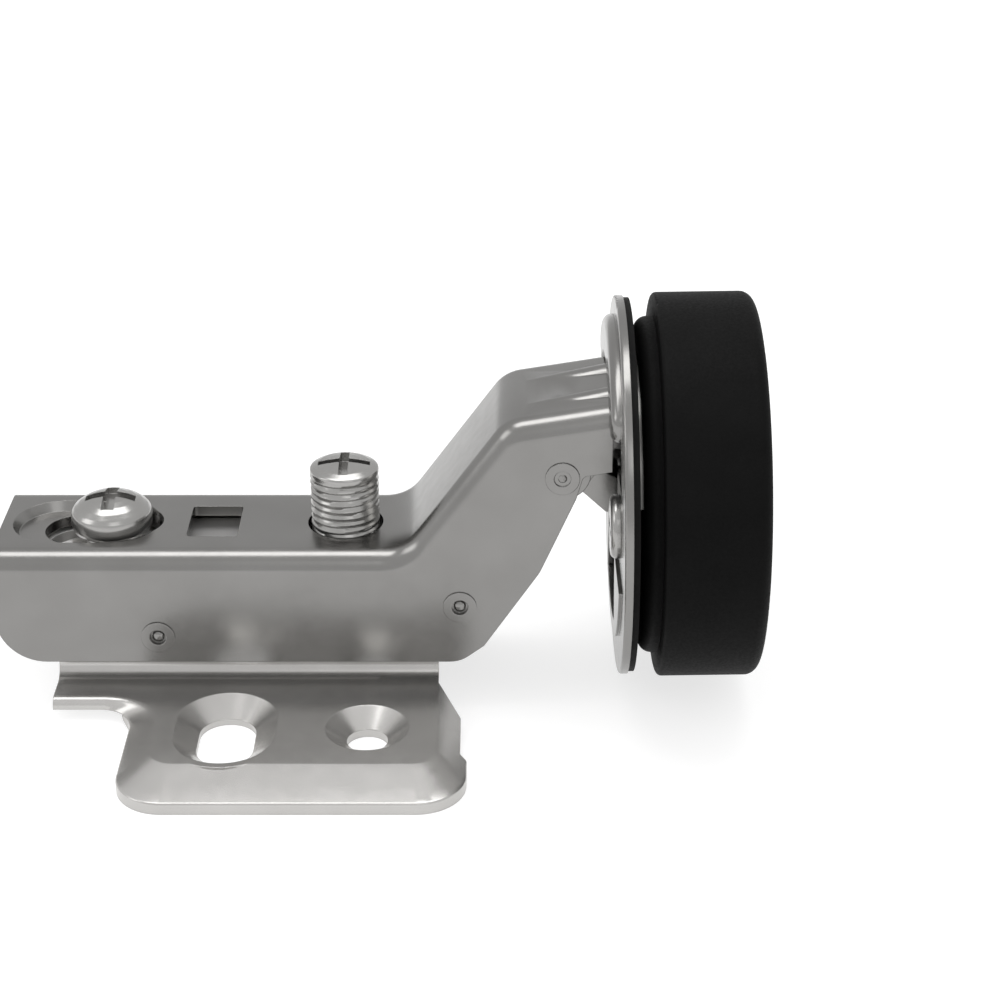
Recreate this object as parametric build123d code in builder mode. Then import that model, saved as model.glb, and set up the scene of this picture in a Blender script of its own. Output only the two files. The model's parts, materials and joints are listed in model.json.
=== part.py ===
import os
from math import asin, atan2, cos, hypot, radians, sin

from build123d import *

# Concealed cup hinge for an inset glass door, shown closed. Millimetres.
# X runs along the arm towards the cup, Y across it, Z up from the cabinet side.
# The origin lies on the cabinet surface, midway between the two round plate holes.

# Mounting plate, one pressed sheet
plate_t = 1.2
hole_spacing_y = 32.0
hole_spacing_x = 14.4
hole_r = 2.1
hole_cone_r = 4.3
slot_r = 2.9
slot_cone_r = 5.2
slot_length = 8.8
wing_h = 2.5
wing_rear_x = -24.6
wing_front_x = 10.2
wing_trim_x = 9.5
wing_half_w = 28.0
wing_front_slope = 5.2
wing_side_slope = 3.0
wing_corner_r = 5.0
wing_top_corner_r = 2.6
rim_h = 1.25
rim_t = 0.6
rim_bend_r = 0.25
crease_r = 1.0
tab_rear_x = -33.0
tab_half_w = 10.7
tab_corner_r = 3.6
trim_start_y = 12.8
trim_end_y = 19.5
ridge_h = 12.4
ridge_front_x = 7.1
ridge_bend_r = 1.6
collar_t = 1.1
collar_h = 3.6
ridge_slant = 4.6
ridge_slant_z = 5.4

# Arm, one pressed channel
arm_half_w = 8.0
arm_t = 1.1
arm_fold_r = 2.2
arm_bottom_z = 5.5
arm_rear_x = -38.7
nose_front_x = 24.8
nose_rear_z = 32.3
nose_front_z = 34.08
nose_rear_x = 14.0
ramp_foot_x = 3.6
nose_bottom_z = 27.4
nose_corner_r = 0.6
knee_bend_r = 4.0
ramp_bend_r = 4.5
heel_r = 5.0
toe_r = 3.0
throat_r = 5.0
hollow_drop = 12.0
arm_front_edge = ((21.9, 26.9), (21.2, 24.4), (17.6, 16.0), (11.9, 7.4), (9.4, arm_bottom_z))
bead_half_spacing = 3.0
bead_r = 1.6
bead_h = 0.5
bead_length = 9.1
bead_dive = 3.2

# Pins of the linkage: x and z in the closed hinge
front_pivot = (19.8, 26.7)
middle_pivot = (9.4, 12.0)
rear_pivot = (-21.95, 8.45)
rivet_r = 1.6
rivet_disc_r = 1.75
rivet_stand = 0.15
dimple_r = 0.85
dimple_depth = 0.5
running_gap = 0.05
side_gap = 0.1

# Cup: measured from the outer face of its flange, along the cup axis and up from it
flange_x = 25.56
cup_axis_z = 22.2
cup_tilt = radians(0.9)
flange_step = 0.25
flange_t = 0.85
flange_bend_r = 0.3
pocket_bend_r = 0.7
pocket_lower_r = 14.2
pocket_upper_r = 13.2
pocket_t = 0.7
pocket_waist_half_w = 4.6
pocket_waist_half_h = 4.4
pocket_lower_half_w = 6.4
lip_h = 1.1
lip_step = 1.9
lip_bend_r = 0.9
lip_end_r = 2.0
lip_mouth_r = 14.1
lip_mouth_z = 0.35
lip_start_z = 9.8
lower_rim_h = 0.35
lower_rim_r = 15.8
lower_rim_z = -4.8
outer_pin = (33.8, 11.0)
inner_pin = (35.9, 14.5)
cup_pin_r = 1.1

# Links
inner_link_half_w = 2.4
outer_link_inside = 2.8
outer_link_t = 1.4
link_web_length = 5.5
open_pivot_gap = 1.15

# Paths of the two links in the closed hinge: control discs as x, z, radius
inner_link_steps = (
    (11.5, 17.8, 1.8),
    (16.1, 22.8, 1.6),
    (21.5, 24.4, 1.4),
    (25.7, 22.7, 1.3),
    (28.9, 23.4, 1.25),
    (33.7, 22.8, 1.25),
    (36.2, 19.4, 1.2),
    (35.6, 14.8, 1.2),
)
inner_link_fin = ((21.6, 24.2, 0.9), (24.9, 20.95, 0.8))
outer_link_steps = (
    (24.5, 30.0, 1.6),
    (30.1, 29.1, 1.4),
    (34.6, 25.4, 1.3),
    (36.1, 20.0, 1.3),
)
inner_eye_r = 2.4
outer_eye_r = 1.95
cup_eye_r = 2.1
front_pin_r = 1.2
front_shoulder_r = 2.9
front_eye_r = 3.6
bush_r = 2.0

# Slide block between the plate's ridge and the arm
slide_out = 3.6
tilt_room = 0.35
shank_room = 0.5
window_x = -16.4
window_length = 5.3
window_width = 7.0
block_t = 1.1
block_rise = 2.9
web_rise = 2.6
foot_gap = 0.4
block_rear_x = -35.0
block_front_x = 0.6
block_bottom_z = 6.3

# Screws
fixing_x = -27.2
fixing_shank_r = 2.8
fixing_head_r = 4.25
fixing_head_rim = 1.2
fixing_dome_h = 2.0
adjust_x = -2.65
adjust_r = 3.6
adjust_stand = 5.6
adjust_dome_h = 1.6
adjust_neck_r = 2.1
adjust_foot_r = 3.2
recess_depth = 1.0
recess_half_w = 4.9
recess_rear_x = -37.6
recess_front_x = -22.1
arm_slot_rear_x = -34.3

# Glass clamp
gasket_t = 0.65
gasket_step = 0.25
boss_step = 2.45
boss_front = 2.1
boss_bend_r = 1.3
cap_front = 3.9
cap_depth = 14.25
cap_r = 19.95
cap_t = 1.0
cap_gap = 0.05
cap_edge_r = 1.3
cap_lip_r = 0.5
clamp_screw_y = 9.6
clamp_screw_r = 1.75
clamp_head_r = 3.25
clamp_head_h = 1.0
clamp_head_bend_r = 0.6
pillar_r = 2.6
insert_r = 2.5
insert_length = 6.0

head_gap = 0.35
cup_bush_r = 1.4
cup_room = 0.25

# Closing spring
spring_room = 0.9
spring_turns = 3
coil_end_swell = 0.04
spring_leg = 6.4
spring_bridge = (12.1, 21.85)

os.makedirs("parts", exist_ok=True)

arm_inner_half_w = arm_half_w - arm_t
block_half_w = arm_inner_half_w - side_gap
pocket_depth = cap_depth - cap_t - cap_gap - pocket_t
ridge_half_w = block_half_w - block_t - side_gap
block_top_z = ridge_h + block_rise
web_z = block_top_z + web_rise
foot_z = ridge_h + foot_gap
flange_r = cap_r - flange_step
lip_r = flange_r - lip_step
gasket_r = flange_r - gasket_step
boss_r = cap_r - boss_step
spring_wire_r = (arm_inner_half_w - inner_link_half_w - spring_room) / (2 * (spring_turns + 1))
insert_front = cap_depth - cap_t - insert_length - 0.4
inner_link_path = ((*middle_pivot, inner_eye_r), *inner_link_steps, (*outer_pin, cup_eye_r))
outer_link_path = ((*front_pivot, front_eye_r), *outer_link_steps, (*inner_pin, outer_eye_r))
far = 60.0


def cup_plane(depth):
    """Plane across the cup axis: its x runs along +Y and its y up, depth is measured into the door."""
    axis = (cos(cup_tilt), 0, sin(cup_tilt))
    origin = (flange_x + depth * axis[0], 0, cup_axis_z + depth * axis[2])
    return Plane(origin=origin, x_dir=(0, 1, 0), z_dir=axis)


def at_depth(part, depth):
    """A part's edges that lie across the cup axis at a depth."""
    door_axis = Axis((flange_x, 0, cup_axis_z), (cos(cup_tilt), 0, sin(cup_tilt)))
    return part.edges().filter_by_position(door_axis, depth - 0.01, depth + 0.01)


def across(y):
    """Plane parallel to the arm's side walls at the given Y; it extrudes towards -Y."""
    return Plane.XZ.offset(-y)


def limb(first, second, mode=Mode.ADD):
    """Puts in the open sketch a limb: two round ends (x, z, radius) and their common tangents."""
    (x1, z1, r1), (x2, z2, r2) = first, second
    run = hypot(x2 - x1, z2 - z1)
    heading = atan2(z2 - z1, x2 - x1)
    lean = asin((r1 - r2) / run)
    corners = []
    for side in (1, -1):
        turn = heading + side * (radians(90) - lean)
        corners.append((x1 + r1 * cos(turn), z1 + r1 * sin(turn)))
        corners.append((x2 + r2 * cos(turn), z2 + r2 * sin(turn)))
    with Locations((x1, z1)):
        Circle(r1, mode=mode)
    with Locations((x2, z2)):
        Circle(r2, mode=mode)
    Polygon(corners[0], corners[1], corners[3], corners[2], align=None, mode=mode)


def pocket_outline(grow):
    """Adds the waisted outline of the cup's pocket, grown outwards by the given amount."""
    with BuildSketch(mode=Mode.PRIVATE) as upper:
        Circle(pocket_upper_r + grow)
        with Locations((0, pocket_waist_half_h - grow)):
            Rectangle(far, far, align=(Align.CENTER, Align.MIN), mode=Mode.INTERSECT)
    with BuildSketch(mode=Mode.PRIVATE) as lower:
        Circle(pocket_lower_r + grow)
        with Locations((0, -pocket_waist_half_h + grow)):
            Rectangle(2 * (pocket_lower_half_w + grow), far, align=(Align.CENTER, Align.MAX), mode=Mode.INTERSECT)
    add(upper.sketch)
    add(lower.sketch)
    Rectangle(2 * (pocket_waist_half_w + grow), 2 * pocket_waist_half_h + 2)


def cross_recess(centre, half_length, width, depth, taper):
    """Cuts a tapered cross recess from the top of a screw head down to the given depth."""
    x, y, z = centre
    with BuildSketch(Plane.XY.offset(z)) as mouth:
        with Locations((x, y)):
            Rectangle(2 * half_length, width)
            Rectangle(width, 2 * half_length)
    extrude(mouth.sketch, amount=-depth, taper=taper, mode=Mode.SUBTRACT)


def plate_outline(z, inset, slope_share, tab_grow):
    """Half outline of tab and wing at a height: set in from the rim, and by a share of the slopes."""
    rear_x = wing_rear_x + inset + slope_share * wing_side_slope
    front_x = wing_front_x - inset - slope_share * wing_side_slope
    side_y = wing_half_w - inset - slope_share * wing_front_slope
    tab_y = tab_half_w + tab_grow
    with BuildSketch(Plane.XY.offset(z)) as outline:
        with BuildLine():
            Polyline(
                (tab_rear_x - tab_grow, 0),
                (tab_rear_x - tab_grow, tab_y),
                (rear_x, tab_y),
                (rear_x, side_y),
                (front_x, side_y),
                (front_x, 0),
                close=True,
            )
        make_face()
        fillet(
            outline.vertices().filter_by(lambda v: abs(v.Y - side_y) < 0.01),
            wing_corner_r - inset - slope_share * (wing_corner_r - wing_top_corner_r),
        )
        fillet(
            outline.vertices().filter_by(lambda v: abs(v.Y - tab_y) < 0.01 and v.X > tab_rear_x + 1),
            tab_corner_r + slope_share,
        )
    return outline.sketch


# Mounting plate
wing_under = wing_h - plate_t
foot_y = ridge_half_w + ridge_bend_r
wall_y = ridge_half_w - plate_t
under_bend_r = 2 * ridge_bend_r
with BuildPart() as underside:
    under_outline = plate_outline(rim_h - plate_t, rim_t, 0, 1)
    loft(sections=[under_outline, plate_outline(wing_under, rim_t / 2, 1, 1)], ruled=True)
    extrude(under_outline, amount=-plate_t)
with BuildPart() as mounting_plate:
    # tab and wing, with slopes that run down to an upright rim
    rim_outline = plate_outline(rim_h, 0, 0, 0)
    loft(sections=[rim_outline, plate_outline(wing_h, 0, 1, 0)], ruled=True)
    extrude(rim_outline, amount=-rim_h)
    creases = mounting_plate.edges().filter_by(
        lambda e: abs((e @ 0).Z - wing_h) < 0.01
        and abs((e @ 1).Z - wing_h) < 0.01
        and e.center().X > wing_rear_x
        and e.center().Y > ridge_half_w
    )
    fillet(creases, crease_r)
    rims = mounting_plate.edges().filter_by(
        lambda e: abs((e @ 0).Z - rim_h) < 0.01
        and abs((e @ 1).Z - rim_h) < 0.01
        and e.center().Y > tab_half_w + tab_corner_r - 1
    )
    fillet(rims, rim_bend_r)
    add(underside.part, mode=Mode.SUBTRACT)
    mirror(about=Plane.XZ)
    # ridge, with rolled feet
    with BuildSketch(Plane.YZ.offset(tab_rear_x)):
        with BuildLine():
            Line((0, ridge_h), (ridge_half_w - ridge_bend_r, ridge_h))
            RadiusArc((ridge_half_w - ridge_bend_r, ridge_h), (ridge_half_w, ridge_h - ridge_bend_r), ridge_bend_r)
            Line((ridge_half_w, ridge_h - ridge_bend_r), (ridge_half_w, wing_h + ridge_bend_r))
            RadiusArc((ridge_half_w, wing_h + ridge_bend_r), (foot_y, wing_h), -ridge_bend_r)
            Line((foot_y, wing_h), (foot_y, wing_under))
            Line((foot_y, wing_under), (0, wing_under))
            Line((0, wing_under), (0, ridge_h))
        make_face()
        mirror(about=Plane.YZ)
    extrude(amount=wing_front_x - tab_rear_x)
    with BuildSketch(Plane.YZ.offset(tab_rear_x - 1)):
        with BuildLine():
            Line((0, ridge_h - plate_t), (wall_y, ridge_h - plate_t))
            Line((wall_y, ridge_h - plate_t), (wall_y, wing_under + under_bend_r))
            RadiusArc(
                (wall_y, wing_under + under_bend_r),
                (wall_y + under_bend_r, wing_under),
                -under_bend_r,
            )
            Line((wall_y + under_bend_r, wing_under), (wall_y + under_bend_r, -1))
            Line((wall_y + under_bend_r, -1), (0, -1))
            Line((0, -1), (0, ridge_h - plate_t))
        make_face()
        mirror(about=Plane.YZ)
    extrude(amount=wing_front_x - tab_rear_x + 2, mode=Mode.SUBTRACT)
    # the wings' front edge is trimmed beside the ridge
    with BuildSketch(Plane.XY.offset(-1)):
        with BuildLine():
            Polyline(
                (wing_front_x + 1, 0),
                (ridge_front_x, 0),
                (ridge_front_x, foot_y),
                (wing_trim_x, trim_start_y),
                (wing_trim_x, trim_end_y),
                (wing_front_x, trim_end_y + 0.9),
                (wing_front_x + 1, trim_end_y + 0.9),
                close=True,
            )
        make_face()
        mirror(about=Plane.XZ)
    extrude(amount=ridge_h + 2, mode=Mode.SUBTRACT)
    # pressed dishes with the round holes, and the larger slotted ones behind them
    for side in (1, -1):
        with Locations((0, side * hole_spacing_y / 2, 0)):
            Cone(hole_r + plate_t, hole_cone_r + 0.9, wing_under, align=(Align.CENTER, Align.CENTER, Align.MIN))
        with BuildSketch(Plane.XY.offset(wing_h)):
            with Locations((-hole_spacing_x, side * hole_spacing_y / 2)):
                SlotOverall(slot_length + 2 * (slot_cone_r - slot_r) + 1.6, 2 * slot_cone_r + 1.6, rotation=90)
        extrude(amount=-wing_h, taper=45)
    for side in (1, -1):
        with Locations((0, side * hole_spacing_y / 2, 0)):
            Cylinder(hole_r, wing_h + 1, align=(Align.CENTER, Align.CENTER, Align.MIN), mode=Mode.SUBTRACT)
        with Locations((0, side * hole_spacing_y / 2, 0.9)):
            Cone(
                hole_r,
                hole_cone_r,
                wing_h - 0.9,
                align=(Align.CENTER, Align.CENTER, Align.MIN),
                mode=Mode.SUBTRACT,
            )
        with BuildSketch(Plane.XY.offset(wing_h)):
            with Locations((-hole_spacing_x, side * hole_spacing_y / 2)):
                SlotOverall(slot_length + 2 * (slot_cone_r - slot_r), 2 * slot_cone_r, rotation=90)
        extrude(amount=-(slot_cone_r - slot_r) / 1.28, taper=52, mode=Mode.SUBTRACT)
        with BuildSketch(Plane.XY.offset(-1)):
            with Locations((-hole_spacing_x, side * hole_spacing_y / 2)):
                SlotOverall(slot_length, 2 * slot_r, rotation=90)
        extrude(amount=wing_h + 1.5, mode=Mode.SUBTRACT)
    # the ridge's front end leans back from the linkage
    with BuildSketch(Plane.XZ):
        with BuildLine():
            Polyline(
                (ridge_front_x, ridge_slant_z),
                (ridge_front_x - ridge_slant, ridge_h + 0.1),
                (wing_front_x, ridge_h + 0.1),
                (wing_front_x, ridge_slant_z),
                close=True,
            )
        make_face()
    extrude(amount=ridge_half_w + 0.1, both=True, mode=Mode.SUBTRACT)
    # threaded collar for the fixing screw, drawn down inside the ridge
    with Locations((fixing_x, 0, ridge_h - plate_t + 0.1)):
        Cylinder(fixing_shank_r + collar_t, collar_h, align=(Align.CENTER, Align.CENTER, Align.MAX))
    with Locations((fixing_x, 0, ridge_h + 0.1)):
        Cylinder(
            fixing_shank_r + running_gap,
            collar_h + plate_t + 1,
            align=(Align.CENTER, Align.CENTER, Align.MAX),
            mode=Mode.SUBTRACT,
        )
mounting_plate.part.label = "mounting_plate"
export_step(mounting_plate.part, "parts/mounting_plate.step")


# Arm: one folded channel with a steep crank and a nose that reaches the cup
def arm_profile(depth, bottom_drop):
    """Side outline of the channel, set in by depth from its web and open by bottom_drop below."""
    ramp = atan2(nose_rear_z - web_z, nose_rear_x - ramp_foot_x)
    nose = atan2(nose_front_z - nose_rear_z, nose_front_x - nose_rear_x)
    foot_shift = depth * (1 - cos(ramp)) / sin(ramp)
    knee_x = nose_rear_x + depth * sin((ramp + nose) / 2) / cos((ramp - nose) / 2)
    knee_z = nose_rear_z - depth * cos((ramp + nose) / 2) / cos((ramp - nose) / 2)
    front_z = nose_front_z - depth / cos(nose)
    end = 2 if depth else 0
    return [
        (arm_rear_x - end, web_z - depth),
        (ramp_foot_x + foot_shift, web_z - depth),
        (knee_x, knee_z),
        (nose_front_x + end, front_z + end * (nose_front_z - nose_rear_z) / (nose_front_x - nose_rear_x)),
        (nose_front_x + end, nose_bottom_z - bottom_drop),
        *((x, z - bottom_drop) for x, z in arm_front_edge),
        (arm_rear_x - end, arm_bottom_z - bottom_drop),
    ]


def near(sketch, x, z):
    """The sketch's vertex nearest to a place in its own plane."""
    return sketch.vertices().sort_by_distance((x, z, 0))[0]


with BuildPart() as hinge_arm:
    with BuildSketch(Plane.XZ) as side_view:
        with BuildLine():
            Polyline(*arm_profile(0, 0), close=True)
        make_face()
        fillet(near(side_view, nose_rear_x, nose_rear_z), knee_bend_r)
        fillet(near(side_view, ramp_foot_x, web_z), ramp_bend_r)
        fillet(near(side_view, arm_rear_x, arm_bottom_z), heel_r)
        fillet(near(side_view, *arm_front_edge[4]), toe_r)
        fillet(near(side_view, *arm_front_edge[2]), throat_r)
        fillet(near(side_view, *arm_front_edge[0]), nose_corner_r)
    extrude(amount=arm_half_w, both=True)
    folds = hinge_arm.edges().filter_by(
        lambda e: abs(abs(e.center().Y) - arm_half_w) < 0.01
        and e.center().Z > web_z - 0.1 + max(0, (e.center().X - ramp_foot_x) * 1.05)
        and e.length > 0.3
    )
    fillet(folds.filter_by(lambda e: e.center().X < nose_front_x - 0.1), arm_fold_r)
    # two beads along the nose run out into the knee
    bead_lean = atan2(nose_front_z - nose_rear_z, nose_front_x - nose_rear_x) + radians(bead_dive)
    for y in (bead_half_spacing, -bead_half_spacing):
        with BuildSketch(Plane.YZ.offset(nose_front_x)) as bead_end:
            with Locations((y, nose_front_z + bead_h - bead_r)):
                Circle(bead_r)
        extrude(bead_end.sketch, amount=bead_length, dir=(-cos(bead_lean), 0, -sin(bead_lean)))
    with BuildSketch(Plane.XZ) as inside_view:
        with BuildLine():
            Polyline(*arm_profile(arm_t, hollow_drop), close=True)
        make_face()
        fillet(near(inside_view, ramp_foot_x + 0.5, web_z - arm_t), ramp_bend_r + arm_t)
        fillet(near(inside_view, nose_rear_x + 0.8, nose_rear_z - arm_t), knee_bend_r - arm_t)
    hollow = extrude(inside_view.sketch, amount=arm_inner_half_w, both=True, mode=Mode.PRIVATE)
    inner_folds = hollow.edges().filter_by(
        lambda e: abs(abs(e.center().Y) - arm_inner_half_w) < 0.01
        and e.center().Z > web_z - arm_t - 0.1 + max(0, (e.center().X - ramp_foot_x) * 1.0)
        and e.length > 0.3
        and e.center().X < nose_front_x + 1.9
    )
    add(hollow.fillet(arm_fold_r - arm_t, inner_folds), mode=Mode.SUBTRACT)
    # pressed recess around the fixing screw, with its slot
    recess_x = (recess_rear_x + recess_front_x) / 2
    with BuildSketch(Plane.XY.offset(web_z)):
        with Locations((recess_x, 0)):
            SlotOverall(recess_front_x - recess_rear_x, 2 * recess_half_w)
    extrude(amount=-recess_depth, taper=30, mode=Mode.SUBTRACT)
    with BuildSketch(Plane.XY.offset(web_z - arm_t - recess_depth)):
        with Locations((recess_x, 0)):
            SlotOverall(recess_front_x - recess_rear_x, 2 * recess_half_w)
    extrude(amount=recess_depth + 0.05)
    slot_front_x = fixing_x + fixing_shank_r + 2.6
    with BuildSketch(Plane.XY.offset(web_z - 4)):
        with Locations(((arm_slot_rear_x + slot_front_x) / 2, 0)):
            SlotOverall(slot_front_x - arm_slot_rear_x, 2 * (fixing_shank_r + shank_room))
    extrude(amount=6, mode=Mode.SUBTRACT)
    # window in front of the recess, and the hole for the adjusting screw
    with BuildSketch(Plane.XY.offset(web_z - 3)):
        with Locations((window_x, 0)):
            RectangleRounded(window_length, window_width, 0.4)
        with Locations((adjust_x, 0)):
            Circle(adjust_r + tilt_room)
    extrude(amount=6, mode=Mode.SUBTRACT)
    for x, z in (front_pivot, middle_pivot, rear_pivot):
        with BuildSketch(Plane.XZ):
            with Locations((x, z)):
                Circle(rivet_r + 0.01)
        extrude(amount=arm_half_w + 1, both=True, mode=Mode.SUBTRACT)
hinge_arm.part.label = "hinge_arm"
export_step(hinge_arm.part, "parts/hinge_arm.step")


# Slide block: inner channel that the arm tilts on and that slides along the ridge
with BuildPart() as slide_block:
    with BuildSketch(Plane.YZ.offset(block_rear_x)):
        with Locations((0, (block_top_z + block_bottom_z) / 2)):
            RectangleRounded(2 * block_half_w, block_top_z - block_bottom_z, 1.2)
        with Locations((0, block_top_z - block_t)):
            Rectangle(
                2 * (block_half_w - block_t),
                far,
                align=(Align.CENTER, Align.MAX),
                mode=Mode.SUBTRACT,
            )
    extrude(amount=block_front_x - block_rear_x)
    with BuildSketch(Plane.XY.offset(block_top_z - 3)):
        with Locations((fixing_x - slide_out / 2, 0)):
            SlotOverall(2 * (fixing_shank_r + shank_room) + slide_out, 2 * (fixing_shank_r + shank_room))
        with Locations((adjust_x, 0)):
            Circle(adjust_neck_r + running_gap)
        with Locations((adjust_x, 0)):
            Rectangle(far, 2 * (adjust_neck_r + running_gap), align=(Align.MIN, Align.CENTER))
    extrude(amount=6, mode=Mode.SUBTRACT)
    with BuildSketch(Plane.XZ):
        with Locations(rear_pivot):
            Circle(rivet_r + running_gap)
    extrude(amount=arm_half_w, both=True, mode=Mode.SUBTRACT)
slide_block.part.label = "slide_block"
export_step(slide_block.part, "parts/slide_block.step")


def rivet_ends(x, z, head_r):
    """Adds the flattened ends of a rivet on both side walls, with a small dimple in each."""
    for side in (1, -1):
        with BuildSketch(across(side * (arm_half_w + rivet_stand))) as disc:
            with Locations((x, z)):
                Circle(head_r)
        extrude(disc.sketch, amount=side * rivet_stand)
        with BuildSketch(across(side * (arm_half_w + rivet_stand))) as dimple:
            with Locations((x, z)):
                Circle(dimple_r)
        extrude(dimple.sketch, amount=side * dimple_depth, mode=Mode.SUBTRACT)


# Front rivets: one shouldered stub in each side wall of the nose
with BuildPart() as front_rivets:
    x, z = front_pivot
    rivet_ends(x, z, rivet_disc_r)
    for side in (1, -1):
        for radius, outer, inner in (
            (rivet_r, arm_half_w, arm_inner_half_w - 0.02),
            (front_shoulder_r, arm_inner_half_w - 0.02, outer_link_inside + outer_link_t + side_gap),
            (front_pin_r, outer_link_inside + outer_link_t + side_gap, outer_link_inside - 0.1),
        ):
            with BuildSketch(across(side * outer)):
                with Locations((x, z)):
                    Circle(radius)
            extrude(amount=side * (outer - inner))
front_rivets.part.label = "front_rivets"
export_step(front_rivets.part, "parts/front_rivets.step")

# Middle rivet: a plain pin right through, on which the inner link and its bushes sit
with BuildPart() as middle_rivet:
    with BuildSketch(Plane.XZ):
        with Locations(middle_pivot):
            Circle(rivet_r)
    extrude(amount=arm_half_w, both=True)
    rivet_ends(*middle_pivot, rivet_disc_r)
middle_rivet.part.label = "middle_rivet"
export_step(middle_rivet.part, "parts/middle_rivet.step")

# Rear rivets: stubs through arm and slide block, clear of the ridge
with BuildPart() as rear_rivets:
    x, z = rear_pivot
    for side in (1, -1):
        with BuildSketch(across(side * arm_half_w)):
            with Locations((x, z)):
                Circle(rivet_r)
        extrude(amount=side * (arm_half_w - block_half_w + block_t))
    rivet_ends(x, z, rivet_disc_r)
rear_rivets.part.label = "rear_rivets"
export_step(rear_rivets.part, "parts/rear_rivets.step")

# Bushes that hold the inner link in the middle of the arm
with BuildPart() as pivot_bushes:
    for side in (1, -1):
        with BuildSketch(across(side * (arm_inner_half_w - 0.02))):
            with Locations(middle_pivot):
                Circle(bush_r)
                Circle(rivet_r + 0.01, mode=Mode.SUBTRACT)
        extrude(amount=side * (arm_inner_half_w - 0.02 - inner_link_half_w - side_gap))
pivot_bushes.part.label = "pivot_bushes"
export_step(pivot_bushes.part, "parts/pivot_bushes.step")


# Inner link: swan-necked bar from the middle rivet to the cup's outer pin
with BuildPart() as inner_link:
    with BuildSketch(Plane.XZ) as bar:
        for first, second in zip(inner_link_path, inner_link_path[1:]):
            limb(first, second)
        limb(*inner_link_fin)
        with Locations(middle_pivot):
            Circle(rivet_r + running_gap, mode=Mode.SUBTRACT)
        with Locations(outer_pin):
            Circle(cup_pin_r + running_gap, mode=Mode.SUBTRACT)
    extrude(amount=inner_link_half_w, both=True)
inner_link.part.label = "inner_link"
export_step(inner_link.part, "parts/inner_link.step")

# Outer link: two cheeks joined over the inner link, from the front rivets to the inner pins
with BuildPart() as outer_link:
    with BuildSketch(across(-outer_link_inside)) as cheek:
        for first, second in zip(outer_link_path, outer_link_path[1:]):
            limb(first, second)
        with Locations(front_pivot):
            Circle(front_pin_r + open_pivot_gap, mode=Mode.SUBTRACT)
        with Locations(inner_pin):
            Circle(cup_pin_r + running_gap, mode=Mode.SUBTRACT)
    extrude(amount=outer_link_t)
    mirror(about=Plane.XZ)
    (x1, z1, r1), (x2, z2, r2) = outer_link_path[0], outer_link_path[1]
    with BuildSketch(Plane.XZ):
        limb((x1, z1, r1), (x2, z2, r2))
        limb((x1 - 0.3, z1 - 1.1, r1), (x2, z2 - 1.1, r2), mode=Mode.SUBTRACT)
        with Locations((x1, z1)):
            Rectangle(link_web_length, far, align=(Align.MIN, Align.CENTER), mode=Mode.INTERSECT)
    extrude(amount=outer_link_inside, both=True)
outer_link.part.label = "outer_link"
export_step(outer_link.part, "parts/outer_link.step")


# Cup: deep-drawn pocket, round flange, a raised lip around its upper half and a low rim below
with BuildPart() as cup_lip:
    with BuildSketch(cup_plane(-lip_h)) as lip_outline:
        Circle(lip_r)
        with Locations((0, lip_start_z)):
            Rectangle(far, far, align=(Align.CENTER, Align.MIN), mode=Mode.INTERSECT)
        fillet(lip_outline.vertices(), lip_end_r)
    extrude(amount=lip_h + flange_t / 2)
    fillet(at_depth(cup_lip, -lip_h), lip_bend_r)
with BuildPart() as cup_pocket:
    with BuildSketch(cup_plane(0)):
        pocket_outline(pocket_t)
    extrude(amount=pocket_depth + pocket_t)
    fillet(at_depth(cup_pocket, pocket_depth + pocket_t), pocket_bend_r)
with BuildPart() as hinge_cup:
    with BuildSketch(cup_plane(0)):
        Circle(flange_r)
    extrude(amount=flange_t)
    fillet(at_depth(hinge_cup, 0), flange_bend_r)
    add(cup_lip.part)
    add(cup_pocket.part)
    with BuildSketch(cup_plane(-lower_rim_h)):
        Circle(lower_rim_r)
        with Locations((0, lower_rim_z)):
            Rectangle(far, far, align=(Align.CENTER, Align.MAX), mode=Mode.INTERSECT)
    extrude(amount=lower_rim_h + flange_t / 2)
    with BuildSketch(cup_plane(-lip_h - 1)):
        pocket_outline(0)
    extrude(amount=pocket_depth + lip_h + 1, mode=Mode.SUBTRACT)
    with BuildSketch(cup_plane(-lip_h - 1)):
        Circle(lip_mouth_r)
        with Locations((0, lip_start_z - 1)):
            Rectangle(far, far, align=(Align.CENTER, Align.MIN), mode=Mode.INTERSECT)
    extrude(amount=1 + lip_h - lip_mouth_z, mode=Mode.SUBTRACT)
    with BuildSketch(cup_plane(0)):
        with Locations((clamp_screw_y, 0), (-clamp_screw_y, 0)):
            Circle(clamp_screw_r + 0.2)
    extrude(amount=flange_t, mode=Mode.SUBTRACT)
    for pin in (outer_pin, inner_pin):
        with BuildSketch(Plane.XZ):
            with Locations(pin):
                Circle(cup_pin_r + 0.01)
        extrude(amount=pocket_lower_half_w + 2 * pocket_t, both=True, mode=Mode.SUBTRACT)
hinge_cup.part.label = "hinge_cup"
export_step(hinge_cup.part, "parts/hinge_cup.step")

# Outer cup pin, right through the pocket
pin_end = pocket_lower_half_w + pocket_t
with BuildPart() as outer_cup_pin:
    with BuildSketch(Plane.XZ):
        with Locations(outer_pin):
            Circle(cup_pin_r)
    extrude(amount=pin_end, both=True)
outer_cup_pin.part.label = "outer_cup_pin"
export_step(outer_cup_pin.part, "parts/outer_cup_pin.step")

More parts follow.
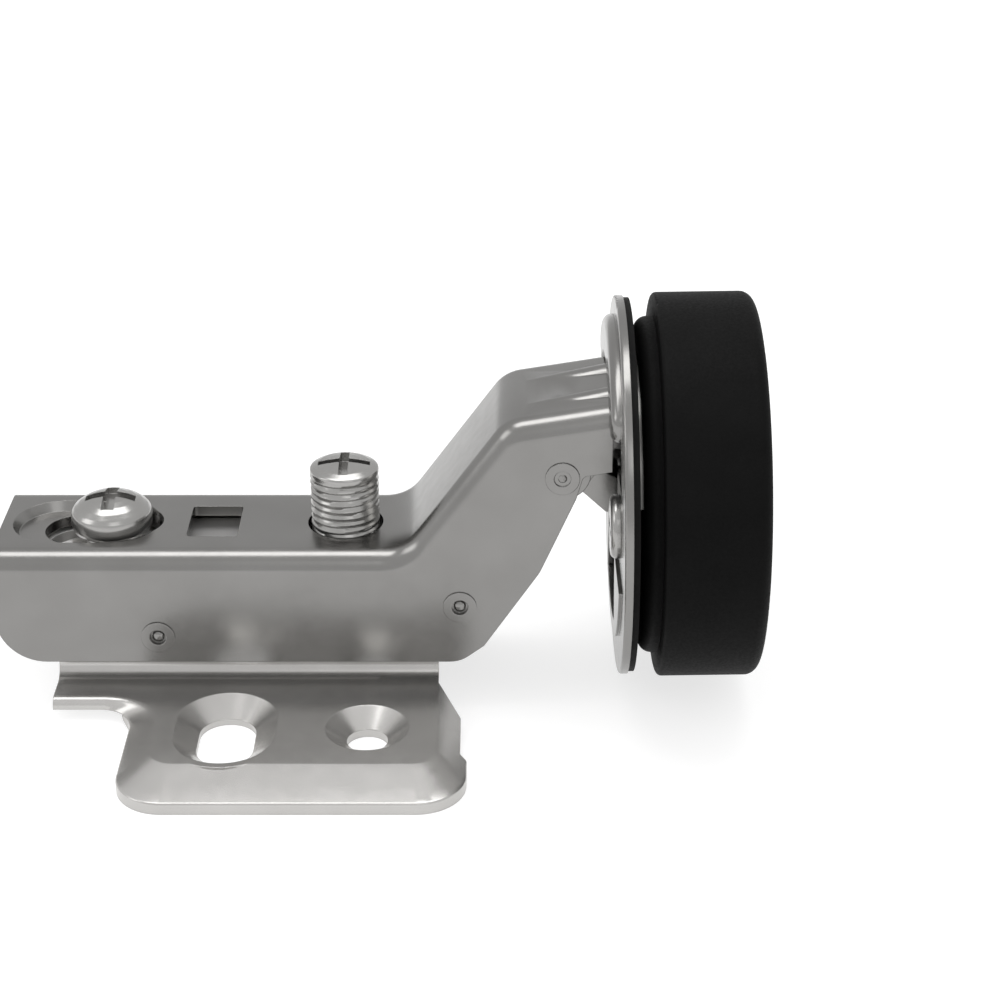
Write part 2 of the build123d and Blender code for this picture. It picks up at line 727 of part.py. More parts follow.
# Bushes on the outer cup pin, beside the cheeks of the outer link
with BuildPart() as cup_pin_bushes:
    for side in (1, -1):
        with BuildSketch(across(side * (pocket_lower_half_w - 0.02))):
            with Locations(outer_pin):
                Circle(cup_bush_r)
                Circle(cup_pin_r + 0.01, mode=Mode.SUBTRACT)
        extrude(amount=side * (pocket_lower_half_w - outer_link_inside - outer_link_t - 2 * side_gap))
cup_pin_bushes.part.label = "cup_pin_bushes"
export_step(cup_pin_bushes.part, "parts/cup_pin_bushes.step")

# Inner cup pins: shouldered stubs that leave the middle free for the inner link
with BuildPart() as inner_cup_pins:
    for side in (1, -1):
        with BuildSketch(across(side * pin_end)):
            with Locations(inner_pin):
                Circle(cup_pin_r)
        extrude(amount=side * (pin_end - outer_link_inside + side_gap))
        with BuildSketch(across(side * (pocket_lower_half_w - 0.02))):
            with Locations(inner_pin):
                Circle(cup_bush_r)
        extrude(amount=side * (pocket_lower_half_w - outer_link_inside - outer_link_t - 2 * side_gap))
inner_cup_pins.part.label = "inner_cup_pins"
export_step(inner_cup_pins.part, "parts/inner_cup_pins.step")

# Gasket between flange and glass
with BuildPart() as flange_gasket:
    with BuildSketch(cup_plane(flange_t)):
        Circle(gasket_r)
        with BuildSketch(mode=Mode.PRIVATE) as hole:
            pocket_outline(pocket_t + 0.2)
        add(hole.sketch, mode=Mode.SUBTRACT)
        with Locations((clamp_screw_y, 0), (-clamp_screw_y, 0)):
            Circle(pillar_r + 0.1, mode=Mode.SUBTRACT)
    extrude(amount=gasket_t)
flange_gasket.part.label = "flange_gasket"
export_step(flange_gasket.part, "parts/flange_gasket.step")

# Clamp body: moulded ring in the glass hole, with two screw pillars
with BuildPart() as clamp_body:
    with BuildSketch(cup_plane(boss_front)):
        Circle(boss_r)
    extrude(amount=cap_depth - cap_t - boss_front)
    fillet(at_depth(clamp_body, boss_front), boss_bend_r)
    with BuildSketch(cup_plane(cap_front)):
        Circle(cap_r - cap_t)
    extrude(amount=2.2)
    with BuildSketch(cup_plane(0)):
        with BuildSketch(mode=Mode.PRIVATE) as room:
            pocket_outline(pocket_t + cup_room)
        add(room.sketch)
    extrude(amount=far, mode=Mode.SUBTRACT)
    with BuildSketch(cup_plane(flange_t + gasket_t + 0.1)):
        with Locations((clamp_screw_y, 0), (-clamp_screw_y, 0)):
            Circle(pillar_r)
    extrude(amount=6)
    with BuildSketch(cup_plane(0)):
        with Locations((clamp_screw_y, 0), (-clamp_screw_y, 0)):
            Circle(clamp_screw_r + 0.15)
    extrude(amount=far, mode=Mode.SUBTRACT)
    with BuildSketch(cup_plane(insert_front)):
        with Locations((clamp_screw_y, 0), (-clamp_screw_y, 0)):
            Circle(insert_r)
    extrude(amount=far, mode=Mode.SUBTRACT)
clamp_body.part.label = "clamp_body"
export_step(clamp_body.part, "parts/clamp_body.step")

# Threaded inserts, held in the clamp body
with BuildPart() as clamp_inserts:
    with BuildSketch(cup_plane(insert_front)):
        with Locations((clamp_screw_y, 0), (-clamp_screw_y, 0)):
            Circle(insert_r - 0.01)
            Circle(clamp_screw_r + running_gap, mode=Mode.SUBTRACT)
    extrude(amount=insert_length)
clamp_inserts.part.label = "clamp_inserts"
export_step(clamp_inserts.part, "parts/clamp_inserts.step")

# Cover cap
with BuildPart() as cover_cap:
    with BuildSketch(cup_plane(cap_front)):
        Circle(cap_r)
    extrude(amount=cap_depth - cap_front)
    fillet(at_depth(cover_cap, cap_depth), cap_edge_r)
    fillet(at_depth(cover_cap, cap_front), cap_lip_r)
    with BuildSketch(cup_plane(cap_front)):
        Circle(cap_r - cap_t + 0.02)
    extrude(amount=cap_depth - cap_front - cap_t + 0.02, mode=Mode.SUBTRACT)
cover_cap.part.label = "cover_cap"
export_step(cover_cap.part, "parts/cover_cap.step")

# Clamp screws, one on each side of the pocket's waist
for name, side in (("left", 1), ("right", -1)):
    with BuildPart() as clamp_screw:
        with BuildSketch(cup_plane(-clamp_head_h)):
            with Locations((side * clamp_screw_y, 0)):
                Circle(clamp_head_r)
        extrude(amount=clamp_head_h)
        fillet(at_depth(clamp_screw, -clamp_head_h), clamp_head_bend_r)
        with BuildSketch(cup_plane(0)):
            with Locations((side * clamp_screw_y, 0)):
                Circle(clamp_screw_r)
        extrude(amount=cap_depth - cap_t - 0.6)
        with BuildSketch(cup_plane(-clamp_head_h)) as cross:
            with Locations((side * clamp_screw_y, 0)):
                Rectangle(3.4, 0.8)
                Rectangle(0.8, 3.4)
        extrude(amount=0.8, taper=12, mode=Mode.SUBTRACT)
    clamp_screw.part.label = f"clamp_screw_{name}"
    export_step(clamp_screw.part, f"parts/clamp_screw_{name}.step")

# Fixing screw: flat domed head over the recess, shank in the ridge's collar
recess_floor_z = web_z - recess_depth
head_z = recess_floor_z + head_gap
with BuildPart() as fixing_screw:
    with BuildSketch(Plane.XZ):
        with BuildLine():
            Polyline(
                (fixing_x, head_z + fixing_head_rim + fixing_dome_h),
                (fixing_x, ridge_h - 4.5),
                (fixing_x + fixing_shank_r - 0.6, ridge_h - 4.5),
                (fixing_x + fixing_shank_r, ridge_h - 3.9),
                (fixing_x + fixing_shank_r, head_z),
                (fixing_x + fixing_head_r, head_z),
                (fixing_x + fixing_head_r, head_z + fixing_head_rim),
            )
            ThreePointArc(
                (fixing_x + fixing_head_r, head_z + fixing_head_rim),
                (fixing_x + 0.62 * fixing_head_r, head_z + fixing_head_rim + 0.64 * fixing_dome_h),
                (fixing_x, head_z + fixing_head_rim + fixing_dome_h),
            )
        make_face()
    revolve(axis=Axis((fixing_x, 0, 0), (0, 0, 1)))
    cross_recess((fixing_x, 0, head_z + fixing_head_rim + fixing_dome_h), fixing_head_r - 0.35, 1.7, 2.0, 12)
fixing_screw.part.label = "fixing_screw"
export_step(fixing_screw.part, "parts/fixing_screw.step")

# Adjusting screw: threaded through the arm, its foot turns in the slide block
adjust_top_z = web_z + adjust_stand
with BuildPart() as adjusting_screw:
    with BuildSketch(Plane.XZ):
        with BuildLine():
            Polyline(
                (adjust_x, adjust_top_z + adjust_dome_h),
                (adjust_x, foot_z),
                (adjust_x + adjust_foot_r, foot_z),
                (adjust_x + adjust_foot_r, block_top_z - block_t - side_gap),
                (adjust_x + adjust_neck_r, block_top_z - block_t - side_gap),
                (adjust_x + adjust_neck_r, block_top_z + side_gap),
                (adjust_x + adjust_r, block_top_z + side_gap),
                (adjust_x + adjust_r, adjust_top_z),
            )
            ThreePointArc(
                (adjust_x + adjust_r, adjust_top_z),
                (adjust_x + 0.62 * adjust_r, adjust_top_z + 0.64 * adjust_dome_h),
                (adjust_x, adjust_top_z + adjust_dome_h),
            )
        make_face()
    revolve(axis=Axis((adjust_x, 0, 0), (0, 0, 1)))
    cross_recess((adjust_x, 0, adjust_top_z + adjust_dome_h), 2.9, 0.95, 2.2, 8)
adjusting_screw.part.label = "adjusting_screw"
export_step(adjusting_screw.part, "parts/adjusting_screw.step")


def wire(start, end, ball_r):
    """Adds a straight run of spring wire with a ball at its start."""
    run = Edge.make_line(start, end)
    with BuildSketch(Plane(origin=start, z_dir=run % 0)) as section:
        Circle(spring_wire_r)
    extrude(section.sketch, amount=run.length)
    with Locations(start):
        Sphere(ball_r)


# Closing spring: a coil round each bush, a leg under the arm's web and a bridge over the inner link
coil_r = bush_r + spring_wire_r + side_gap
coil_pitch = 2 * spring_wire_r + side_gap
coil_y = inner_link_half_w + 2 * side_gap + spring_wire_r
pin_x, pin_z = middle_pivot
with BuildPart() as closing_spring:
    with BuildLine():
        coil = Helix(
            pitch=coil_pitch,
            height=coil_pitch * spring_turns,
            radius=coil_r,
            center=(pin_x, coil_y, pin_z),
            direction=(0, 1, 0),
        )
    with BuildSketch(Plane(origin=coil @ 0, z_dir=coil % 0)):
        Circle(spring_wire_r)
    sweep(path=coil, is_frenet=True)
    leg_end = (pin_x - spring_leg, coil_y, web_z - arm_t - spring_wire_r - side_gap)
    wire(tuple(coil @ 0), leg_end, spring_wire_r + coil_end_swell)
    bridge_end = (spring_bridge[0], (coil @ 1).Y, spring_bridge[1])
    wire(tuple(coil @ 1), bridge_end, spring_wire_r + coil_end_swell)
    wire(bridge_end, (spring_bridge[0], 0, spring_bridge[1]), spring_wire_r)
    mirror(about=Plane.XZ)
closing_spring.part.label = "closing_spring"
export_step(closing_spring.part, "parts/closing_spring.step")
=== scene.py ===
import json
import math

import bmesh
import bpy
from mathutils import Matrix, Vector


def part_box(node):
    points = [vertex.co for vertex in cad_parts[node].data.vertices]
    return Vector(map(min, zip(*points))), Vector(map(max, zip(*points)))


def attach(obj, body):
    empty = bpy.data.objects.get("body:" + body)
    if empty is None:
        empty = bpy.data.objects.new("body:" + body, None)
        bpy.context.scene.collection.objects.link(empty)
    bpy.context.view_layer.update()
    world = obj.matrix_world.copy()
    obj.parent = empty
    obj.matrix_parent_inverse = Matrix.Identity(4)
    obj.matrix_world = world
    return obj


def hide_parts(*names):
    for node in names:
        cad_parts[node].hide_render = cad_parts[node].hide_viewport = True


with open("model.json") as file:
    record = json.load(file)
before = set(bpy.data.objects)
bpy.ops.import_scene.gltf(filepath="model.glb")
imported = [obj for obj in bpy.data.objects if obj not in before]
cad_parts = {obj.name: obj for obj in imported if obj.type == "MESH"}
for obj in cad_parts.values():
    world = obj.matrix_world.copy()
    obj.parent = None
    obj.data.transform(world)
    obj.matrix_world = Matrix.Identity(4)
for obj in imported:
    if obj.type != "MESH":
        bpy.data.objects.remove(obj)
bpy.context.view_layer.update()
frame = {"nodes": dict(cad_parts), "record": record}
cad = frame["nodes"]
mm = 0.001

# Finishes: features per metre, and the depth and strength of their relief
mottle_scale = 160
gloss_scale = 700
metal_grain_scale = 2600
metal_grain_depth = 0.02 * mm
metal_relief = 0.018
plastic_mottle_scale = 240
plastic_relief = 0.35
plastic_specular = 0.08
metal_edge_r = 0.14 * mm
plastic_edge_r = 0.15 * mm

# Screws: mesh of the turned form, the thread's crest and its run-out as a share of the height
corners_around = 97
corners_along = 181
crest_power = 1.7
run_out = 0.03

# Rivets: the stake in each end, and how deep its middle lies below that end
stake_r = 0.66 * mm
stake_h = 0.36 * mm
stake_depth = {"front_rivets": 0.38 * mm, "middle_rivet": 0.46 * mm, "rear_rivets": 0.46 * mm}

# Studio
sky_front = 0.86
sky_back = 0.74
floor_reach = 3.0
floor_grey = 0.45
floor_glow = 0.70

# Camera, as solved from the photo
camera_place = (0.01272, -0.2083, 0.1234)
camera_pitch = math.radians(63.89)
camera_lens = 81.2


# Materials

def shader(name):
    """A new material with its node tree, its Principled shader and its object coordinates."""
    material = bpy.data.materials.new(name)
    material.use_nodes = True
    tree = material.node_tree
    surface = tree.nodes["Principled BSDF"]
    place = tree.nodes.new("ShaderNodeTexCoord").outputs["Object"]
    return material, tree, surface, place


def noise(tree, place, scale, detail):
    """Noise in object space. The scale is in features per metre."""
    texture = tree.nodes.new("ShaderNodeTexNoise")
    texture.inputs["Scale"].default_value = scale
    texture.inputs["Detail"].default_value = detail
    tree.links.new(place, texture.inputs["Vector"])
    return texture.outputs["Fac"]


def spread(tree, value, low, high):
    """Maps the middle of a noise to the range from low to high."""
    node = tree.nodes.new("ShaderNodeMapRange")
    node.inputs["From Min"].default_value = 0.3
    node.inputs["From Max"].default_value = 0.7
    node.inputs["To Min"].default_value = low
    node.inputs["To Max"].default_value = high
    tree.links.new(value, node.inputs["Value"])
    return node.outputs["Result"]


def tinted(tree, value, dark, light):
    """Mixes two colours by a noise."""
    node = tree.nodes.new("ShaderNodeMix")
    node.data_type = "RGBA"
    node.inputs["A"].default_value = (*dark, 1)
    node.inputs["B"].default_value = (*light, 1)
    tree.links.new(spread(tree, value, 0, 1), node.inputs["Factor"])
    return node.outputs["Result"]


def bumped(tree, surface, height, strength, depth, edge_r):
    """Feeds a height into the shader's normal, over edges rounded by the given radius."""
    bump = tree.nodes.new("ShaderNodeBump")
    bump.inputs["Strength"].default_value = strength
    bump.inputs["Distance"].default_value = depth
    tree.links.new(height, bump.inputs["Height"])
    if edge_r:
        bevel = tree.nodes.new("ShaderNodeBevel")
        bevel.samples = 6
        bevel.inputs["Radius"].default_value = edge_r
        tree.links.new(bevel.outputs["Normal"], bump.inputs["Normal"])
    tree.links.new(bump.outputs["Normal"], surface.inputs["Normal"])


def plated(name, dark, light, rough, edge_r=metal_edge_r, metal=1.0):
    """Metal with a faint mottle, slightly uneven gloss and a fine grain."""
    material, tree, surface, place = shader(name)
    surface.inputs["Metallic"].default_value = metal
    mottle = noise(tree, place, mottle_scale, 3.0)
    gloss = noise(tree, place, gloss_scale, 4.0)
    grain = noise(tree, place, metal_grain_scale, 3.0)
    tree.links.new(tinted(tree, mottle, dark, light), surface.inputs["Base Color"])
    tree.links.new(spread(tree, gloss, rough - 0.02, rough + 0.025), surface.inputs["Roughness"])
    bumped(tree, surface, grain, metal_relief, metal_grain_depth, edge_r)
    return material


def moulded(name, dark, light, rough, grain_scale, grain_depth):
    """Moulded plastic or rubber with a fine erosion grain."""
    material, tree, surface, place = shader(name)
    mottle = noise(tree, place, plastic_mottle_scale, 3.0)
    grain = noise(tree, place, grain_scale, 4.0)
    tree.links.new(tinted(tree, mottle, dark, light), surface.inputs["Base Color"])
    tree.links.new(spread(tree, grain, rough - 0.08, rough + 0.08), surface.inputs["Roughness"])
    surface.inputs["Specular IOR Level"].default_value = plastic_specular
    bumped(tree, surface, grain, plastic_relief, grain_depth, plastic_edge_r)
    return material


finish = {
    "nickel_steel": plated("nickel_plate", (0.245, 0.241, 0.234), (0.265, 0.261, 0.254), 0.23),
    "screw_steel": plated("screw_plate", (0.36, 0.355, 0.345), (0.40, 0.395, 0.385), 0.22, metal=0.9),
    "bush_steel": plated("plain_steel", (0.34, 0.34, 0.335), (0.38, 0.38, 0.375), 0.28),
    "spring_steel": plated("spring_wire", (0.26, 0.26, 0.27), (0.34, 0.34, 0.35), 0.28, edge_r=0.0),
    "insert_brass": plated("turned_brass", (0.60, 0.46, 0.22), (0.68, 0.53, 0.27), 0.26),
    "black_plastic": moulded(
        "black_plastic", (0.003, 0.003, 0.003), (0.0045, 0.0045, 0.0045), 0.62, 3800, 0.03 * mm
    ),
    "gasket_rubber": moulded(
        "black_rubber", (0.006, 0.006, 0.006), (0.010, 0.010, 0.0095), 0.66, 2400, 0.02 * mm
    ),
}
# Lighter, less metallic copies of the nickel for the mounting plate and the slide block are painted light.
# The plate is lightened to show brighter light on its flat, and the enclosed block is lightened against
# the shade it sits in.
painted_light_finish = {
    "mounting_plate": plated("plate_nickel_painted_lighter", (0.52, 0.51, 0.495), (0.56, 0.55, 0.535), 0.24, metal=0.80),
    "slide_block": plated("block_nickel_painted_lighter", (0.78, 0.77, 0.76), (0.84, 0.83, 0.815), 0.18, metal=0.55),
}
slot_of = {entry["node"]: entry["material_slot"] for entry in frame["record"]["subparts"]}
body_of = {}
for body, members in frame["record"]["behaviour"]["bodies"].items():
    for member in members:
        body_of[member] = body


# Pieces made from the solids

def merged(node):
    """A copy of a node's mesh with its corners joined, so that it can be shaded smooth."""
    form = bmesh.new()
    form.from_mesh(cad[node].data)
    bmesh.ops.remove_doubles(form, verts=form.verts, dist=0.002 * mm)
    form.verts.ensure_lookup_table()
    corners = [vert.co.copy() for vert in form.verts]
    faces = [[vert.index for vert in face.verts] for face in form.faces]
    form.free()
    mesh = bpy.data.meshes.new(node + "_form")
    mesh.from_pydata(corners, [], faces)
    mesh.update()
    return mesh


def smoothed(name, mesh, crease, node):
    """An object on a node's body, shaded smooth up to the crease angle in degrees."""
    mesh.shade_smooth()
    mesh.set_sharp_from_angle(angle=math.radians(crease))
    piece = bpy.data.objects.new(name, mesh)
    bpy.context.scene.collection.objects.link(piece)
    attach(piece, body_of[node])
    return piece


def dressed(node):
    """The node's finished piece, in its slot's finish. The mounting plate and the slide block instead get
    a lighter copy of the nickel, which is painted light.
    """
    mesh = merged(node)
    mesh.materials.append(painted_light_finish.get(node, finish[slot_of[node]]))
    piece = smoothed("dressed_" + node, mesh, 28, node)
    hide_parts(node)
    return piece


# Screws and stakes, each grown by a tree of geometry nodes

def feed(tree, value, socket):
    """Gives a socket a number, or links another socket to it."""
    if isinstance(value, (int, float)):
        socket.default_value = value
    else:
        tree.links.new(value, socket)


def calc(tree, operation, first, second=0.0):
    """One Math node; each input is a socket or a number."""
    node = tree.nodes.new("ShaderNodeMath")
    node.operation = operation
    feed(tree, first, node.inputs[0])
    feed(tree, second, node.inputs[1])
    return node.outputs["Value"]


def vector(tree, x, y, z):
    """A vector; each part is a socket or a number."""
    node = tree.nodes.new("ShaderNodeCombineXYZ")
    for part, value in zip("XYZ", (x, y, z)):
        feed(tree, value, node.inputs[part])
    return node.outputs["Vector"]


def moved(tree, geometry, place, size=None):
    """A geometry moved to a place, and scaled first where a size is given."""
    node = tree.nodes.new("GeometryNodeTransform")
    tree.links.new(geometry, node.inputs["Geometry"])
    tree.links.new(place, node.inputs["Translation"])
    if size is not None:
        tree.links.new(size, node.inputs["Scale"])
    return node.outputs["Geometry"]


def new_tree(name, sizes):
    """A geometry node tree with one named length input for each size, and a material input."""
    tree = bpy.data.node_groups.new(name, "GeometryNodeTree")
    tree.interface.new_socket("Geometry", in_out="OUTPUT", socket_type="NodeSocketGeometry")
    for size in sizes:
        tree.interface.new_socket(size, in_out="INPUT", socket_type="NodeSocketFloat")
    tree.interface.new_socket("Finish", in_out="INPUT", socket_type="NodeSocketMaterial")
    return tree, tree.nodes.new("NodeGroupInput").outputs


def finish_tree(tree, geometry, given):
    """Ends a tree with real geometry in its finish."""
    real = tree.nodes.new("GeometryNodeRealizeInstances")
    coat = tree.nodes.new("GeometryNodeSetMaterial")
    out = tree.nodes.new("NodeGroupOutput")
    tree.links.new(geometry, real.inputs["Geometry"])
    tree.links.new(real.outputs["Geometry"], coat.inputs["Geometry"])
    tree.links.new(given["Finish"], coat.inputs["Material"])
    tree.links.new(coat.outputs["Geometry"], out.inputs["Geometry"])


def grown(name, tree, sizes, node, crease):
    """A plain mesh piece grown by a tree with the given sizes, in the finish of a node and on its body."""
    blank = bpy.data.meshes.new(name + "_blank")
    grower = bpy.data.objects.new(name + "_grower", blank)
    bpy.context.scene.collection.objects.link(grower)
    modifier = grower.modifiers.new("grow", "NODES")
    modifier.node_group = tree
    for socket in tree.interface.items_tree:
        if socket.in_out == "INPUT":
            value = finish[slot_of[node]] if socket.name == "Finish" else sizes[socket.name]
            modifier[socket.identifier] = value
    shape = grower.evaluated_get(bpy.context.evaluated_depsgraph_get())
    mesh = bpy.data.meshes.new_from_object(shape)
    mesh.name = name
    bpy.data.objects.remove(grower)
    return smoothed(name, mesh, crease, node)


def curve_of(tree, value, points):
    """A float curve through the given points, with straight runs between them."""
    node = tree.nodes.new("ShaderNodeFloatCurve")
    line = node.mapping.curves[0]
    while len(line.points) < len(points):
        line.points.new(0.5, 0.5)
    for point, (x, y) in zip(line.points, points):
        point.location = (x, y)
        point.handle_type = "VECTOR"
    node.mapping.update()
    tree.links.new(value, node.inputs["Value"])
    return node.outputs["Value"]


def turned_form(tree, given, outline, thread):
    """A grid wrapped round the Z axis along the outline, with the thread cut into it."""
    grid = tree.nodes.new("GeometryNodeMeshGrid")
    grid.inputs["Size X"].default_value = 1
    grid.inputs["Size Y"].default_value = 1
    grid.inputs["Vertices X"].default_value = corners_around
    grid.inputs["Vertices Y"].default_value = corners_along
    place = tree.nodes.new("GeometryNodeInputPosition")
    axes = tree.nodes.new("ShaderNodeSeparateXYZ")
    tree.links.new(place.outputs["Position"], axes.inputs["Vector"])
    around = calc(tree, "ADD", axes.outputs["X"], 0.5)
    along = calc(tree, "ADD", axes.outputs["Y"], 0.5)

    lengths = [0.0]
    for (r0, z0), (r1, z1) in zip(outline, outline[1:]):
        lengths.append(lengths[-1] + math.hypot(r1 - r0, z1 - z0))
    steps = [length / lengths[-1] for length in lengths]
    radii = [(step, r) for step, (r, z) in zip(steps, outline)]
    heights = [(step, z) for step, (r, z) in zip(steps, outline)]
    radius = calc(tree, "MULTIPLY", curve_of(tree, along, radii), given["Radius"])
    height = calc(tree, "MULTIPLY", curve_of(tree, along, heights), given["Height"])

    # a thread with rounded crests, that runs out at both ends
    start, end = thread
    threaded = [(0, 0), (start, 0), (start + run_out, 1), (end - run_out, 1), (end, 0), (1, 0)]
    share = curve_of(tree, calc(tree, "DIVIDE", height, given["Height"]), threaded)
    turns = calc(tree, "SUBTRACT", calc(tree, "DIVIDE", height, given["Pitch"]), around)
    slope = calc(tree, "ABSOLUTE", calc(tree, "SUBTRACT", calc(tree, "FRACT", turns), 0.5))
    groove = calc(tree, "POWER", calc(tree, "MULTIPLY", slope, 2.0), crest_power)
    depth = calc(tree, "MULTIPLY", calc(tree, "MULTIPLY", groove, share), given["Thread Depth"])
    outer = calc(tree, "SUBTRACT", radius, depth)
    angle = calc(tree, "MULTIPLY", around, 2 * math.pi)
    spot = vector(
        tree,
        calc(tree, "MULTIPLY", outer, calc(tree, "COSINE", angle)),
        calc(tree, "MULTIPLY", outer, calc(tree, "SINE", angle)),
        height,
    )
    wrap = tree.nodes.new("GeometryNodeSetPosition")
    tree.links.new(grid.outputs["Mesh"], wrap.inputs["Geometry"])
    tree.links.new(spot, wrap.inputs["Position"])
    weld = tree.nodes.new("GeometryNodeMergeByDistance")
    weld.inputs["Distance"].default_value = 0.004 * mm
    tree.links.new(wrap.outputs["Geometry"], weld.inputs["Geometry"])
    return weld.outputs["Geometry"]


def cross_cut(tree, given, form):
    """The form with a cross recess cut in its head."""
    cut = tree.nodes.new("GeometryNodeMeshBoolean")
    cut.operation = "DIFFERENCE"
    cut.solver = "EXACT"
    cut.inputs["Self Intersection"].default_value = True
    cut.inputs["Hole Tolerant"].default_value = True
    tree.links.new(form, cut.inputs["Mesh 1"])
    length, width = given["Slot Length"], given["Slot Width"]
    for x, y in ((length, width), (width, length)):
        bar = tree.nodes.new("GeometryNodeMeshCube")
        size = vector(tree, x, y, calc(tree, "MULTIPLY", given["Slot Depth"], 2.0))
        tree.links.new(size, bar.inputs["Size"])
        bar_on_top = moved(tree, bar.outputs["Mesh"], vector(tree, 0.0, 0.0, given["Height"]))
        tree.links.new(bar_on_top, cut.inputs["Mesh 2"])
    return cut.outputs["Mesh"]


def turned_screw_tree(name, outline, thread):
    """A turned screw along Z. The outline gives radius and height as shares of Radius and Height,
    thread the shares of its height between which the thread runs."""
    tree, given = new_tree(
        name,
        ("Axis X", "Axis Y", "Foot Z", "Height", "Radius", "Pitch", "Thread Depth", "Slot Width",
         "Slot Length", "Slot Depth"),
    )
    form = cross_cut(tree, given, turned_form(tree, given, outline, thread))
    foot = vector(tree, given["Axis X"], given["Axis Y"], given["Foot Z"])
    finish_tree(tree, moved(tree, form, foot), given)
    return tree


def outward(piece):
    """Turns a closed piece's faces outwards."""
    form = bmesh.new()
    form.from_mesh(piece.data)
    bmesh.ops.remove_doubles(form, verts=form.verts, dist=0.001 * mm)
    bmesh.ops.recalc_face_normals(form, faces=form.faces)
    form.to_mesh(piece.data)
    form.free()


def screw(node, outline, thread, pitch, groove, slot, rise=0.0):
    """A turned screw that stands for a node. All lengths are in millimetres: the outline and the thread's
    ends from the node's foot, slot as width, length and depth, rise as the height over the solid's."""
    low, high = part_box(node)
    height = high[2] - low[2] + rise * mm
    radius = (high[0] - low[0]) / 2
    shares = [(r * mm / radius, z * mm / height) for r, z in outline]
    tree = turned_screw_tree(node + "_tree", shares, [z * mm / height for z in thread])
    sizes = {
        "Axis X": (low[0] + high[0]) / 2,
        "Axis Y": (low[1] + high[1]) / 2,
        "Foot Z": low[2],
        "Height": height,
        "Radius": radius,
        "Pitch": pitch * mm,
        "Thread Depth": groove * mm,
        "Slot Width": slot[0] * mm,
        "Slot Length": slot[1] * mm,
        "Slot Depth": slot[2] * mm,
    }
    piece = grown("turned_" + node, tree, sizes, node, crease=35)
    outward(piece)
    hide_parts(node)
    return piece


def stake_tree():
    """The faceted stake that the riveting tool leaves in each end of a rivet."""
    tree, given = new_tree("rivet_stakes", ("Axis X", "Axis Z", "End Y", "Radius", "Height"))
    bead = tree.nodes.new("GeometryNodeMeshIcoSphere")
    bead.inputs["Radius"].default_value = 1.0
    bead.inputs["Subdivisions"].default_value = 2
    pair = tree.nodes.new("GeometryNodeJoinGeometry")
    size = vector(tree, given["Radius"], given["Height"], given["Radius"])
    for side in (1, -1):
        end = calc(tree, "MULTIPLY", given["End Y"], side)
        spot = vector(tree, given["Axis X"], end, given["Axis Z"])
        tree.links.new(moved(tree, bead.outputs["Mesh"], spot, size), pair.inputs["Geometry"])
    finish_tree(tree, pair.outputs["Geometry"], given)
    return tree


stakes = stake_tree()
for node, depth in stake_depth.items():
    low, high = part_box(node)
    sizes = {
        "Axis X": (low[0] + high[0]) / 2,
        "Axis Z": (low[2] + high[2]) / 2,
        "End Y": high[1] - depth,
        "Radius": stake_r,
        "Height": stake_h,
    }
    grown(node + "_stakes", stakes, sizes, node, crease=8)

for node in cad:
    if node not in ("adjusting_screw", "fixing_screw"):
        dressed(node)

screw(
    "adjusting_screw",
    [(0, 0), (3.2, 0), (3.2, 1.3), (2.1, 1.3), (2.1, 2.6), (3.3, 2.6), (3.6, 2.9), (3.6, 11.25),
     (3.55, 11.42), (3.35, 11.55), (2.7, 11.85), (1.8, 12.05), (0.9, 12.2), (0, 12.24)],
    thread=(2.9, 11.2),
    pitch=0.76,
    groove=0.32,
    slot=(0.95, 5.4, 1.5),
)
screw(
    "fixing_screw",
    [(0, 0), (2.2, 0), (2.8, 0.6), (2.8, 9.2), (3.6, 9.2), (4.05, 9.5), (4.25, 9.95), (4.25, 11.0),
     (4.15, 11.45), (3.85, 11.85), (3.3, 12.3), (2.6, 12.7), (1.8, 13.0), (0.9, 13.2), (0, 13.27)],
    thread=(0.5, 8.6),
    pitch=0.8,
    groove=0.30,
    slot=(1.3, 5.2, 1.3),
    rise=0.87,
)


# Studio

def area_lamp(name, place, target, size, power):
    """A soft rectangular lamp that looks at its target."""
    data = bpy.data.lights.new(name, "AREA")
    data.shape = "RECTANGLE"
    data.size, data.size_y = size
    data.energy = power
    lamp = bpy.data.objects.new(name, data)
    lamp.location = place
    lamp.rotation_euler = (Vector(target) - Vector(place)).to_track_quat("-Z", "Y").to_euler()
    bpy.context.scene.collection.objects.link(lamp)
    return lamp


lamp_target = (0, 0, 0.02)
area_lamp("overhead_softbox", (-0.02, 0.06, 0.56), lamp_target, (0.50, 0.22), 1.05)
area_lamp("left_softbox", (-0.55, -0.15, 0.40), lamp_target, (0.30, 0.30), 0.45)
area_lamp("front_fill", (0.15, -0.60, 0.55), lamp_target, (0.35, 0.25), 0.25)

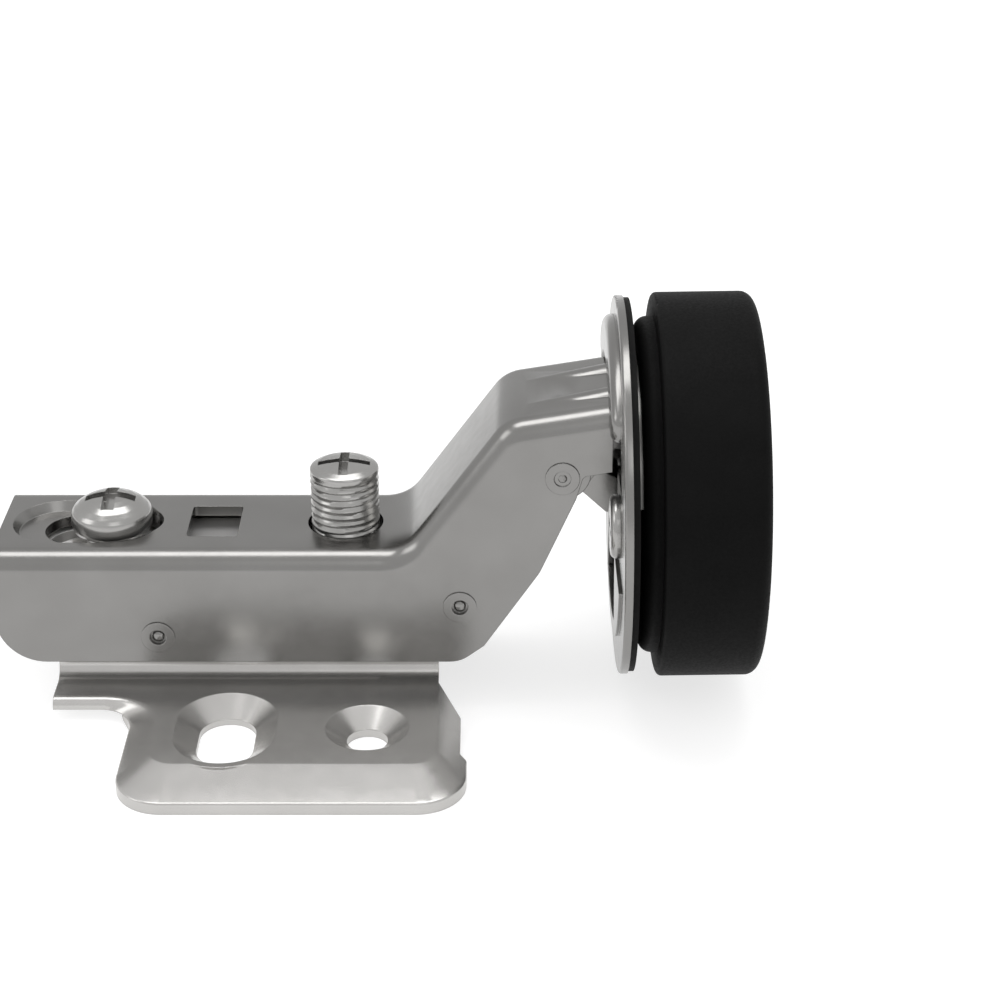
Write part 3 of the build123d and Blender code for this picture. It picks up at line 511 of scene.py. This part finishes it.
# a grey sky, lighter in front than at the back
world = bpy.data.worlds.new("studio")
bpy.context.scene.world = world
world.use_nodes = True
sky = world.node_tree
direction = sky.nodes.new("ShaderNodeTexCoord")
axes = sky.nodes.new("ShaderNodeSeparateXYZ")
sky.links.new(direction.outputs["Generated"], axes.inputs["Vector"])
towards_back = sky.nodes.new("ShaderNodeMapRange")
towards_back.inputs["From Min"].default_value = -1
sky.links.new(axes.outputs["Y"], towards_back.inputs["Value"])
ramp = sky.nodes.new("ShaderNodeValToRGB")
for stop, position, grey in zip(ramp.color_ramp.elements, (0.15, 0.85), (sky_front, sky_back)):
    stop.position = position
    stop.color = (grey, grey, grey, 1)
sky.links.new(towards_back.outputs["Result"], ramp.inputs["Fac"])
sky.links.new(ramp.outputs["Color"], sky.nodes["Background"].inputs["Color"])

# the floor glows where the camera, a mirror or glass sees it, so that it looks white there
floor_mesh = bpy.data.meshes.new("floor")
floor_mesh.from_pydata(
    [(-floor_reach, -floor_reach, 0), (floor_reach, -floor_reach, 0),
     (floor_reach, floor_reach, 0), (-floor_reach, floor_reach, 0)],
    [],
    [(0, 1, 2, 3)],
)
floor = bpy.data.objects.new("floor", floor_mesh)
bpy.context.scene.collection.objects.link(floor)
floor_paint, tree, surface, place = shader("floor_paint")
surface.inputs["Base Color"].default_value = (floor_grey, floor_grey, floor_grey, 1)
surface.inputs["Roughness"].default_value = 0.9
surface.inputs["Specular IOR Level"].default_value = 0.0
surface.inputs["Emission Color"].default_value = (1, 1, 1, 1)
rays = tree.nodes.new("ShaderNodeLightPath").outputs
seen = calc(tree, "MAXIMUM", rays["Is Camera Ray"], rays["Is Glossy Ray"])
seen = calc(tree, "MAXIMUM", seen, rays["Is Transmission Ray"])
tree.links.new(calc(tree, "MULTIPLY", seen, floor_glow), surface.inputs["Emission Strength"])
floor_mesh.materials.append(floor_paint)

camera_data = bpy.data.cameras.new("photo_camera")
camera_data.sensor_width = 36
camera_data.lens = camera_lens
camera_data.clip_start = 0.01
camera = bpy.data.objects.new("photo_camera", camera_data)
camera.location = camera_place
camera.rotation_euler = (camera_pitch, 0, 0)
bpy.context.scene.collection.objects.link(camera)
bpy.context.scene.camera = camera

bpy.context.scene.view_settings.view_transform = "Standard"
